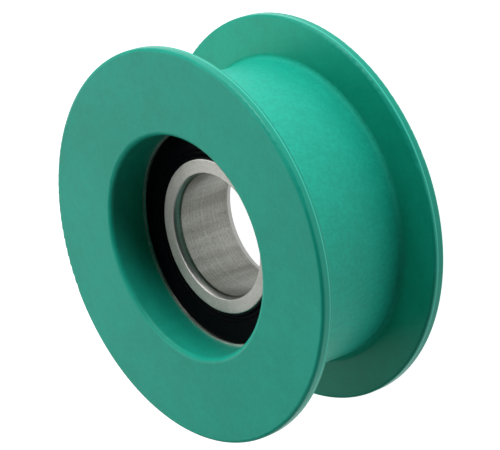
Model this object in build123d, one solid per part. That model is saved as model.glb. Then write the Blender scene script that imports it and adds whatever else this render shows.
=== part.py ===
from build123d import *
import os
from math import cos, pi, radians, sin

# A double-flanged belt pulley that idles on a fixed shaft. One plastic body is moulded around
# a sealed ball bearing, which sits half way along it at the bottom of a round recess on each side.
# Millimetres. Z is the shaft's axis, and z = 0 is the middle of the body and of the bearing.

# Moulded body. Its hub wall lies between the belt seat and the bearing's outside, and each
# cover is how far the plastic reaches in over the bearing's face on that side.
flange_dia = 79.0
belt_seat_dia = 61.2
body_width = 31.5
flange_thickness = 2.6
hub_wall = 4.6
cover_top = 3.7
cover_bottom = 1.5
rim_radius = 0.7
rim_inner_radius = 0.5
root_radius = 0.9
mouth_radius = 1.0

# Bearing rings. Each wall is the steel behind the bottom of the raceway.
bearing_width = 15.0
outer_ring_wall = 2.491
inner_ring_wall = 3.031
bore_corner_depth = 0.45
bore_corner_length = 1.8
outer_corner = 1.0
land_corner = 0.25
inner_race_depth = 1.7
outer_race_depth = 1.9
race_conformity = 0.52

# Balls and the pressed cage that spaces them
ball_dia = 7.938
ball_spacing = 13.6
running_gap = 0.02
pocket_gap = 0.12
cage_thickness = 0.8
cage_width = 2.9
rivet_dia = 1.5
rivet_fit = 0.05
rivet_head_dia = 2.3
rivet_head_height = 0.5
rivet_head_round = 0.4

# Seals: rubber moulded on a steel insert, clipped into the outer ring
seal_recess = 0.45
seal_thickness = 1.25
seal_fit = 0.05
seal_back_gap = 0.2
seal_land_step = 1.55
seal_mouth_step = 0.2
seal_groove_step = 1.5
retaining_lip = 0.5
lip_gap = 0.06
lip_thickness = 0.6
lip_length = 1.6
lip_bead_radius = 0.25
lip_groove_step = 0.75
insert_thickness = 0.4
insert_rim = 0.5
insert_cover = 0.6

# Radii that follow from the sizes above, from the flanges inwards to the bore
ball_r = ball_dia / 2
flange_r = flange_dia / 2
belt_seat_r = belt_seat_dia / 2
bearing_r = belt_seat_r - hub_wall
recess_top_r = bearing_r - cover_top
recess_bottom_r = bearing_r - cover_bottom
outer_race_bottom = bearing_r - outer_ring_wall
pitch_r = outer_race_bottom - running_gap - ball_r
inner_race_bottom = pitch_r - ball_r - running_gap
bore_r = inner_race_bottom - inner_ring_wall
inner_shoulder_r = inner_race_bottom + inner_race_depth
outer_shoulder_r = outer_race_bottom - outer_race_depth
race_radius = race_conformity * ball_dia

# Heights, and the sizes of the seals
body_top = body_width / 2
flange_inside = body_top - flange_thickness
ring_top = bearing_width / 2

seal_face = ring_top - seal_recess
seal_back = seal_face - seal_thickness
seal_land_r = inner_shoulder_r - seal_land_step
seal_mouth_r = outer_shoulder_r + seal_mouth_step
seal_groove_r = outer_shoulder_r + seal_groove_step
seal_groove_top = ring_top - retaining_lip
seal_lip_r = seal_land_r + lip_gap
seal_outer_r = seal_groove_r - seal_fit

# As many balls as fit round the pitch circle, with a rivet half way between each two
ball_count = int(2 * pi * pitch_r / ball_spacing)
ball_angles = [360 / ball_count * n for n in range(ball_count)]
rivet_angles = [angle + 180 / ball_count for angle in ball_angles]


def band(radius_from, radius_to, low, high):
    """A rectangle of a section, between two radii and two heights."""
    middle = Pos((radius_from + radius_to) / 2, (low + high) / 2)
    return middle * Rectangle(radius_to - radius_from, high - low)


def both_sides(section):
    """The section together with its mirror image on the bearing's other side."""
    return section + mirror(section, Plane.XZ)


def rounded(section, radius, corner):
    """The section with its corner at this (radius, height) point rounded."""
    return fillet(section.vertices().sort_by_distance(Vector(*corner))[0], radius)


def turned(section):
    """The section, drawn with radius along X and height along Y, turned about the Z axis."""
    return revolve(Plane.XZ * section, Axis.Z)


def at_angle(angle, radius):
    """A place on a circle around the Z axis, at the middle height."""
    return Pos(radius * cos(radians(angle)), radius * sin(radians(angle)), 0)


def pulley_body():
    """Two flanges, the flat belt seat between them, and the hub that grips the outer ring."""
    section = band(bearing_r, flange_r, -body_top, body_top)
    section -= band(belt_seat_r, flange_r, -flange_inside, flange_inside)
    section += band(recess_top_r, bearing_r, ring_top, body_top)
    section += band(recess_bottom_r, bearing_r, -body_top, -ring_top)
    for side, recess_r in ((1, recess_top_r), (-1, recess_bottom_r)):
        section = rounded(section, rim_radius, (flange_r, side * body_top))
        section = rounded(section, rim_inner_radius, (flange_r, side * flange_inside))
        section = rounded(section, root_radius, (belt_seat_r, side * flange_inside))
        section = rounded(section, mouth_radius, (recess_r, side * body_top))
        section = rounded(section, outer_corner, (bearing_r, side * ring_top))
    return turned(section)


def outer_ring():
    """Hardened ring with its raceway and a lipped groove for each seal."""
    section = band(outer_shoulder_r, bearing_r, -ring_top, ring_top)
    section -= Pos(outer_race_bottom - race_radius, 0) * Circle(race_radius)
    groove = band(outer_shoulder_r, seal_groove_r, seal_back - seal_fit, seal_groove_top)
    mouth = band(outer_shoulder_r, seal_mouth_r, seal_back, ring_top)
    section -= both_sides(groove + mouth)
    for side in (1, -1):
        section = rounded(section, outer_corner, (bearing_r, side * ring_top))
    return turned(section)


def inner_ring():
    """Hardened ring with the bore, its raceway, and a turned-down land for each seal's lip."""
    section = band(bore_r, inner_shoulder_r, -ring_top, ring_top)
    section -= Pos(inner_race_bottom + race_radius, 0) * Circle(race_radius)
    section -= both_sides(band(seal_land_r, inner_shoulder_r, seal_back - seal_back_gap, ring_top))
    corner_r = bore_r + bore_corner_depth
    corner_low = ring_top - bore_corner_length
    corner = band(bore_r, corner_r, corner_low, ring_top)
    corner -= Pos(corner_r, corner_low) * Ellipse(bore_corner_depth, bore_corner_length)
    section -= both_sides(corner)
    for side in (1, -1):
        section = rounded(section, land_corner, (seal_land_r, side * ring_top))
    return turned(section)


def ball(angle):
    """One ball, at its place on the pitch circle."""
    return at_angle(angle, pitch_r) * Sphere(ball_r)


def cage_half():
    """Upper half of the pressed cage: a ribbon with a round pocket over each ball."""
    pocket_inside = ball_r + pocket_gap
    pocket_outside = pocket_inside + cage_thickness
    inside_r = pitch_r - cage_width / 2
    outside_r = pitch_r + cage_width / 2
    ribbon = turned(band(inside_r, outside_r, 0, cage_thickness))
    ring_space = turned(band(inside_r, outside_r, 0, pocket_outside))
    for angle in ball_angles:
        ribbon += (at_angle(angle, pitch_r) * Sphere(pocket_outside)) & ring_space
    for angle in ball_angles:
        ribbon -= at_angle(angle, pitch_r) * Sphere(pocket_inside)
    for angle in rivet_angles:
        ribbon -= at_angle(angle, pitch_r) * Cylinder(rivet_dia / 2 + rivet_fit, 2 * pocket_outside)
    return ribbon


def rivet(angle):
    """One rivet through both cage halves, with a rounded head on each side."""
    shank = band(0, rivet_dia / 2, -cage_thickness, cage_thickness)
    head_top = cage_thickness + rivet_head_height
    head = band(0, rivet_head_dia / 2, cage_thickness, head_top)
    head = rounded(head, rivet_head_round, (rivet_head_dia / 2, head_top))
    return at_angle(angle, pitch_r) * turned(shank + both_sides(head))


def insert_section():
    """Section of a seal's steel insert: a washer with its outer edge turned up."""
    outside_r = seal_outer_r - insert_cover
    washer = band(seal_lip_r + lip_length, outside_r, seal_back, seal_back + insert_thickness)
    rim_top = seal_back + insert_thickness + insert_rim
    return washer + band(outside_r - insert_thickness, outside_r, seal_back, rim_top)


def seal_section():
    """Section of a seal's rubber: a bead in the groove, a flat face and a thin beaded lip."""
    face = band(seal_lip_r, seal_mouth_r - seal_fit, seal_back, seal_face)
    bead = band(seal_lip_r + lip_length, seal_outer_r, seal_back, seal_groove_top - seal_fit)
    under_lip = band(seal_lip_r, seal_lip_r + lip_length, seal_back, seal_face - lip_thickness)
    section = face + bead - under_lip - insert_section()
    section += Pos(seal_lip_r + lip_bead_radius, seal_face) * Circle(lip_bead_radius)
    section -= Pos(seal_lip_r + lip_groove_step, seal_face) * Circle(lip_bead_radius)
    section -= Pos(seal_lip_r + lip_length, seal_face) * Circle(lip_bead_radius)
    return section


parts = {
    "pulley_body": pulley_body(),
    "bearing_outer_ring": outer_ring(),
    "bearing_inner_ring": inner_ring(),
    "cage_half_top": cage_half(),
    "cage_half_bottom": mirror(cage_half(), Plane.XY),
    "seal_top": turned(seal_section()),
    "seal_bottom": mirror(turned(seal_section()), Plane.XY),
    "seal_insert_top": turned(insert_section()),
    "seal_insert_bottom": mirror(turned(insert_section()), Plane.XY),
}
for number, angle in enumerate(ball_angles, 1):
    parts[f"ball_{number}"] = ball(angle)
for number, angle in enumerate(rivet_angles, 1):
    parts[f"cage_rivet_{number}"] = rivet(angle)

os.makedirs("parts", exist_ok=True)
for name, shape in parts.items():
    export_step(shape, f"parts/{name}.step")
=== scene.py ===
from math import cos, radians, sin, sqrt

import bpy
from mathutils import Matrix, Vector


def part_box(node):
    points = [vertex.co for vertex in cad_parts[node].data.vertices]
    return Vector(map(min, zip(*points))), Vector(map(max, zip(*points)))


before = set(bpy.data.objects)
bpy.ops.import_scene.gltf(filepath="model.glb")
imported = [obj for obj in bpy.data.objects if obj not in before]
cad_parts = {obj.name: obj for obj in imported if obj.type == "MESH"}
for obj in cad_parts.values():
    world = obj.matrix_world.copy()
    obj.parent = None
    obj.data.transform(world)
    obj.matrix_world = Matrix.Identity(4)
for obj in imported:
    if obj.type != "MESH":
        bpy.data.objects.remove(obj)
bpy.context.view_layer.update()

# Camera. It looks down on the pulley's upper face from 37 degrees, and is rolled so that the bore
# lies across the picture as it does in the photo. The near flange's face is 13.8 flange radii away.
flange_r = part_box("pulley_body")[1].x
face_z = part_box("pulley_body")[1].z
focal_px = 2835.12
picture_width_px = 500
sensor_mm = 36

# The pulley's axis and the middle of its upper face, along the camera's right, up and back.
axis_seen = Vector((-0.7485, -0.2673, 0.6069))
face_centre_seen = flange_r * Vector((-0.3247, -0.1142, -13.8161))

back = Vector((0, -sqrt(1 - axis_seen.z ** 2), axis_seen.z))
right_y = -axis_seen.x * axis_seen.z / back.y
right_x = -sqrt(1 - axis_seen.x ** 2 - right_y ** 2)
right = Vector((right_x, right_y, axis_seen.x))
up = back.cross(right)
turn = Matrix((right, up, back)).transposed()
camera_place = Vector((0, 0, face_z)) - turn @ face_centre_seen
camera = bpy.data.objects.new("camera", bpy.data.cameras.new("camera"))
bpy.context.scene.collection.objects.link(camera)
camera.matrix_world = Matrix.Translation(camera_place) @ turn.to_4x4()
camera.data.sensor_width = sensor_mm
camera.data.lens = focal_px / picture_width_px * sensor_mm
camera.data.clip_start = 0.01
camera.data.clip_end = 10
bpy.context.scene.camera = camera
bpy.context.scene.view_settings.view_transform = "Standard"


# Inner ring. Ground bearing steel that stands still on the shaft: a satin bore with fine grinding
# lines round it, painted darker than the faces as shade and streaked along its length with painted
# reflections, faces ground to an even grey, and long rounded corners that tumbling polished.
class Value:
    """A number on a shader socket. Python's operators on it add Math nodes."""

    def __init__(self, paint, socket):
        self.paint = paint
        self.socket = socket

    def maths(self, operation, *terms):
        return self.paint.node("Math", {"operation": operation}, dict(enumerate(terms)))

    def __add__(self, other):
        return self.maths("ADD", self, other)

    def __radd__(self, other):
        return self.maths("ADD", other, self)

    def __sub__(self, other):
        return self.maths("SUBTRACT", self, other)

    def __rsub__(self, other):
        return self.maths("SUBTRACT", other, self)

    def __mul__(self, other):
        return self.maths("MULTIPLY", self, other)

    def __rmul__(self, other):
        return self.maths("MULTIPLY", other, self)

    def __pow__(self, other):
        return self.maths("POWER", self, other)

    def __abs__(self):
        return self.maths("ABSOLUTE", self)


class Paint:
    """A material, or the world, and its nodes."""

    def __init__(self, name, kind=bpy.data.materials):
        self.owner = kind.new(name)
        self.owner.use_nodes = True
        self.tree = self.owner.node_tree
        self.tree.nodes.clear()

    def node(self, kind, settings, sockets, output=0):
        """Add a node: its type, its settings, then the values or links of its sockets."""
        made = self.tree.nodes.new("ShaderNode" + kind)
        for setting, value in settings.items():
            setattr(made, setting, value)
        for name, value in sockets.items():
            socket = made.inputs[name]
            if isinstance(value, Value):
                self.tree.links.new(value.socket, socket)
            elif socket.type == "RGBA":
                socket.default_value = (*value, 1)
            else:
                socket.default_value = value
        return Value(self, made.outputs[output]) if made.outputs else None

    def place(self):
        """The point on the piece, in millimetres, from the bore's centre."""
        point = self.node("TexCoord", {}, {}, "Object")
        return self.node("VectorMath", {"operation": "SCALE"}, {0: point, "Scale": 1000.0})

    def parts_of(self, vector):
        """X, Y and Z of a vector."""
        split = self.node("SeparateXYZ", {}, {0: vector})
        return [Value(self, part) for part in split.socket.node.outputs]

    def vector(self, x, y, z):
        return self.node("CombineXYZ", {}, {0: x, 1: y, 2: z})

    def noise(self, vector, per_mm, detail=2.0, roughness=0.5):
        """Soft noise about 0.5, with so many features to a millimetre."""
        sockets = {"Vector": vector, "Scale": per_mm, "Detail": detail, "Roughness": roughness}
        return self.node("TexNoise", {}, sockets, "Fac")

    def rise(self, value, low, high):
        """0 below low, 1 above high, and a smooth step between them."""
        sockets = {"Value": value, "From Min": low, "From Max": high}
        return self.node("MapRange", {"interpolation_type": "SMOOTHSTEP"}, sockets)

    def mix(self, share, first, second):
        """The first colour, with this share of the second."""
        # A Mix node has its colours on sockets 6 and 7, and its mixed colour on output 2.
        return self.node("Mix", {"data_type": "RGBA"}, {0: share, 6: first, 7: second}, 2)

    def bump(self, height, depth_mm):
        """Relief that stands this many millimetres proud where the height is 1."""
        return self.node("Bump", {}, {"Distance": depth_mm / 1000, "Height": height})

    def finish(self, sockets):
        """Close the material with a Principled shader that has these sockets."""
        shader = self.node("BsdfPrincipled", {}, sockets)
        self.node("OutputMaterial", {}, {"Surface": shader})
        return self.owner


def from_axis(x, y):
    """How far a point is from the bore's axis."""
    return (x * x + y * y) ** 0.5


def dress(node, material):
    """Give a CAD piece its finish."""
    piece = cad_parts[node]
    piece.data.materials.clear()
    piece.data.materials.append(material)


def ground_steel():
    """Steel with grinding lines round the bore's axis, polished corners, and a bore painted darker
    as shade.
    """
    bore_r = 12.5
    corner_r = 12.95
    corner_length = 1.8
    corner_slope = 0.32
    line_depth = 0.004
    ring_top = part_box("bearing_inner_ring")[1].z * 1000
    # The bore's darker greys are painted shade; the faces keep the steel's own grey.
    bore_painted_shade_dark, bore_painted_shade_light = (0.19, 0.186, 0.166), (0.49, 0.484, 0.45)
    face_dark, face_light = (0.50, 0.495, 0.46), (0.68, 0.675, 0.63)
    polished = (0.62, 0.60, 0.58)

    paint = Paint("ring_steel")
    place = paint.place()
    x, y, z = paint.parts_of(place)
    radius = from_axis(x, y)
    face = paint.rise(abs(z), ring_top - 0.04, ring_top - 0.01)
    corner = (1 - face) * paint.rise(radius, bore_r + 0.01, bore_r + 0.05)
    corner = corner * (1 - paint.rise(radius, corner_r, corner_r + 0.1))
    lines = paint.noise(paint.vector(radius, 0.0, z), per_mm=9.0, detail=4.0, roughness=0.7)
    # Broad light and dark streaks along the axis, at random places: painted reflection streaks,
    # strongest in the bore.
    painted_reflection_bands = paint.noise(paint.vector(x, y, 0.1 * z), per_mm=0.16, detail=3.0, roughness=0.6)
    grain = paint.noise(place, per_mm=3.0, detail=4.0, roughness=0.7)

    tone = 0.25 * lines + (0.5 - 0.2 * face) * painted_reflection_bands + (0.25 + 0.2 * face) * grain
    tone = paint.rise(tone, 0.36, 0.64)
    bore_painted_shade_grey = paint.mix(tone, bore_painted_shade_dark, bore_painted_shade_light)
    face_grey = paint.mix(tone, face_dark, face_light)
    ground = paint.mix(face, bore_painted_shade_grey, face_grey)
    ground_rough = 0.34 + 0.12 * face + 0.10 * (painted_reflection_bands - 0.5) + 0.12 * (lines - 0.5)

    # The corner leans in a little more than its mesh does, over its own length below the face.
    depths = {0: ring_top - abs(z), 1: corner_length}
    below_face = paint.node("Math", {"operation": "MINIMUM"}, depths)
    relief = corner_slope * below_face + line_depth * (1 - corner) * (0.7 * lines + 0.3 * grain)
    return paint.finish({
        "Base Color": paint.mix(corner, ground, polished),
        "Metallic": 1.0,
        "Roughness": (1 - corner) * ground_rough + 0.45 * corner,
        "Normal": paint.bump(relief, depth_mm=1.0),
    })


ring_steel = ground_steel()
dress("bearing_inner_ring", ring_steel)


# Balls. Nine polished balls of bearing steel that roll in the raceways between the rings, each in
# its own pocket of the cage. The seals keep them out of sight.
def polished_steel():
    """Nearly mirror-bright steel, with a faint cloud."""
    dark, light = (0.62, 0.62, 0.63), (0.72, 0.72, 0.72)

    paint = Paint("ball_steel")
    place = paint.place()
    cloud = paint.noise(place, per_mm=0.8, detail=3.0)
    scratches = paint.noise(place, per_mm=6.0)
    return paint.finish({
        "Base Color": paint.mix(cloud, dark, light),
        "Metallic": 1.0,
        "Roughness": 0.08 + 0.06 * cloud,
        "Normal": paint.bump(scratches, depth_mm=0.001),
    })


ball_steel = polished_steel()
for name in sorted(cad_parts):
    if name.startswith("ball_"):
        dress(name, ball_steel)


# Cage. Two ribbons pressed from sheet steel, closed round the balls and held by a rivet between
# each two pockets. The pressing leaves a dull, slightly drawn surface.
def pressed_steel(name, dark, light):
    """Dull sheet steel with scuffs from the press."""
    paint = Paint(name)
    place = paint.place()
    cloud = paint.noise(place, per_mm=0.5, detail=4.0, roughness=0.6)
    scuffs = paint.noise(place, per_mm=5.0, detail=3.0, roughness=0.7)
    return paint.finish({
        "Base Color": paint.mix(paint.rise(cloud, 0.35, 0.65), dark, light),
        "Metallic": 1.0,
        "Roughness": 0.36 + 0.2 * scuffs,
        "Normal": paint.bump(scuffs, depth_mm=0.01),
    })


cage_steel = pressed_steel("cage_steel", dark=(0.36, 0.35, 0.33), light=(0.50, 0.49, 0.46))
for name in sorted(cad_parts):
    if name.startswith("cage_"):
        dress(name, cage_steel)


# Outer ring. The same ground steel, gripped by the plastic all round. Only the narrow edge of
# its face shows, between the seal and the body.
dress("bearing_outer_ring", ring_steel)


# Seal inserts. A washer pressed from sheet steel inside each seal, with its outer edge turned up.
# The rubber is moulded on it, and it keeps the seal flat.
insert_steel = pressed_steel("insert_steel", dark=(0.34, 0.34, 0.33), light=(0.46, 0.46, 0.45))
for name in ("seal_insert_top", "seal_insert_bottom"):
    dress(name, insert_steel)


# Seals. Black nitrile rubber moulded on the inserts and clipped into the outer ring, with a
# satin skin, faint mould rings and a beaded lip against the inner ring.
def moulded_rubber():
    """Deep black rubber, with mould rings round the bore's axis."""
    deep, bloomed = (0.0007, 0.0007, 0.0016), (0.002, 0.002, 0.0035)

    paint = Paint("seal_rubber")
    place = paint.place()
    x, y = paint.parts_of(place)[:2]
    rings = paint.noise(paint.vector(from_axis(x, y), 0.0, 0.0), per_mm=2.2)
    cloud = paint.noise(place, per_mm=0.35, detail=4.0, roughness=0.6)
    grain = paint.noise(place, per_mm=7.0, detail=3.0, roughness=0.6)
    return paint.finish({
        "Base Color": paint.mix(cloud, deep, bloomed),
        "Roughness": 0.42 + 0.25 * (cloud - 0.5) + 0.1 * grain,
        "Specular IOR Level": 0.04,
        "Normal": paint.bump(0.7 * rings + 0.3 * grain, depth_mm=0.02),
    })


seal_rubber = moulded_rubber()
for name in ("seal_top", "seal_bottom"):
    dress(name, seal_rubber)


# Body. Green engineering plastic moulded round the bearing in one piece, with a matt skin: the
# faces are smooth, the belt seat has a fine grain and a paler green that is painted light, and each
# shiny rim has a darker green that is painted shade and a thin painted highlight line.
def moulded_plastic():
    """Mottled green plastic. Its masks go by radius and by height from the middle, in mm."""
    seat_r = 30.6
    rim_r = 39.5
    flange_inside = 13.15
    flange_face = 15.75
    # Height of the thin painted highlight line on each rim.
    highlight_line_height = 13.95
    dark_green, light_green = (0.005, 0.395, 0.275), (0.010, 0.50, 0.36)
    # The belt seat's paler green is painted light.
    seat_painted_light_green = (0.02, 0.66, 0.52)
    # The rim's darker green is painted shade.
    rim_painted_shade_green = (0.002, 0.33, 0.235)
    # The bright line along each rim is a painted highlight.
    painted_highlight_green = (0.08, 0.80, 0.62)

    paint = Paint("body_plastic")
    place = paint.place()
    x, y, z = paint.parts_of(place)
    radius = from_axis(x, y)
    height = abs(z)
    between_flanges = paint.rise(radius, seat_r - 2.6, seat_r - 1.6)
    between_flanges *= 1 - paint.rise(height, flange_inside + 0.05, flange_inside + 0.25)
    belt_seat = between_flanges * (1 - paint.rise(radius, seat_r + 0.1, seat_r + 1.0))
    root = between_flanges * paint.rise(height, flange_inside - 1.15, flange_inside - 0.75)
    root *= 1 - paint.rise(radius, seat_r + 0.9, seat_r + 1.3)
    rim = paint.rise(radius, rim_r - 0.6, rim_r - 0.2)
    rim_band = rim * paint.rise(height, flange_inside + 0.05, flange_inside + 0.55)
    rim_band *= 1 - paint.rise(height, flange_face - 0.85, flange_face - 0.35)
    rim_highlight_line = rim * (1 - paint.rise(abs(height - highlight_line_height), 0.08, 0.2))

    broad = paint.noise(place, per_mm=0.05)
    cloud = paint.noise(place, per_mm=0.35, detail=3.0, roughness=0.55)
    blotch = paint.noise(place, per_mm=1.0)
    grain = paint.noise(place, per_mm=1.8, detail=3.0, roughness=0.6)
    fine = paint.noise(place, per_mm=5.0)

    tone = 0.5 + 0.5 * (broad - 0.5) + 0.5 * (cloud - 0.5)
    tone += (0.35 + 0.6 * belt_seat) * (grain - 0.5)
    tone += (0.25 + 0.55 * belt_seat) * (blotch - 0.5)
    green = paint.mix(paint.rise(tone, 0.2, 0.8), dark_green, light_green)
    # The belt seat is painted a paler green: painted light.
    green = paint.mix(0.2 * belt_seat, green, seat_painted_light_green)
    # The rims are painted a darker green: painted shade.
    green = paint.mix(0.6 * rim, green, rim_painted_shade_green)
    rough = 0.46 + 0.16 * (cloud - 0.5) + 0.10 * (grain - 0.5) + 0.35 * root - 0.14 * rim_band
    relief = (0.4 + 0.6 * belt_seat - 0.3 * rim) * grain + 0.3 * (1 - rim) * fine
    return paint.finish({
        # A thin bright band at one height on each rim: a painted highlight line.
        "Base Color": paint.mix(0.6 * rim_highlight_line, green, painted_highlight_green),
        "Roughness": rough,
        "Specular IOR Level": 0.28,
        "Normal": paint.bump(relief, depth_mm=0.03),
    })


body_plastic = moulded_plastic()
dress("pulley_body", body_plastic)


# Floor. A plain pale table top under the lower flange. It lies a hair below the flange's face, so
# that the two never fill the same plane.
def pale_floor():
    """A matt top that glows on the pulley, and a little more to the camera, which sees white."""
    glow_on_pulley = 0.73
    glow_seen = 1.0

    paint = Paint("floor")
    seen = paint.node("LightPath", {}, {}, "Is Camera Ray")
    diffuse = paint.node("BsdfDiffuse", {}, {"Color": (0.45, 0.45, 0.45)})
    strength = (glow_seen - glow_on_pulley) * seen + glow_on_pulley
    glow = paint.node("Emission", {}, {"Color": (1.0, 1.0, 1.0), "Strength": strength})
    both = paint.node("AddShader", {}, {0: diffuse, 1: glow})
    paint.node("OutputMaterial", {}, {"Surface": both})
    return paint.owner


floor_half = 3.0
floor_gap = 0.00005
floor_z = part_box("pulley_body")[0].z - floor_gap
floor_signs = ((-1, -1), (1, -1), (1, 1), (-1, 1))
floor_corners = [(x * floor_half, y * floor_half, floor_z) for x, y in floor_signs]
floor_mesh = bpy.data.meshes.new("floor")
floor_mesh.from_pydata(floor_corners, [], [(0, 1, 2, 3)])
floor_mesh.materials.append(pale_floor())
floor = bpy.data.objects.new("floor", floor_mesh)
bpy.context.scene.collection.objects.link(floor)


# Lights. A strong light close to the table on one side, a weaker one next to it, soft ones above,
# and panels behind the pulley that its upper face mirrors. The table's glow fills in the rest.
def panel(name, azimuth, elevation, watts):
    """A square soft light that faces the pulley. Its place is given by two angles in degrees."""
    distance = 0.8
    size = 0.35
    azimuth, elevation = radians(azimuth), radians(elevation)
    across = cos(elevation)
    away = Vector((across * cos(azimuth), across * sin(azimuth), sin(elevation)))
    light = bpy.data.lights.new(name, "AREA")
    light.energy = watts
    light.size = size
    lamp = bpy.data.objects.new(name, light)
    lamp.location = away * distance
    lamp.rotation_mode = "QUATERNION"
    lamp.rotation_quaternion = away.to_track_quat("Z", "Y")
    bpy.context.scene.collection.objects.link(lamp)


for name, azimuth, elevation, watts in (
    ("key", 330, 4, 4.25),
    ("key_side", 0, 4, 1.4),
    ("side_high", 0, 40, 0.85),
    ("overhead", 45, 60, 1.65),
    ("top", 0, 80, 0.55),
    ("face_panel", 90, 20, 0.7),
    ("face_panel_high", 68, 33, 0.6),
    ("back", 150, 40, 0.42),
    ("fill", 200, 4, 0.3),
):
    panel(name, azimuth, elevation, watts)


# Room. Plain white where the camera sees past the table's edge. It gives no light of its own, so
# the pulley is lit by the panels and the table alone.
room = Paint("room", bpy.data.worlds)
seen = room.node("LightPath", {}, {}, "Is Camera Ray")
backdrop = room.node("Background", {}, {"Color": (1.0, 1.0, 1.0), "Strength": seen})
room.node("OutputWorld", {}, {"Surface": backdrop})
bpy.context.scene.world = room.owner
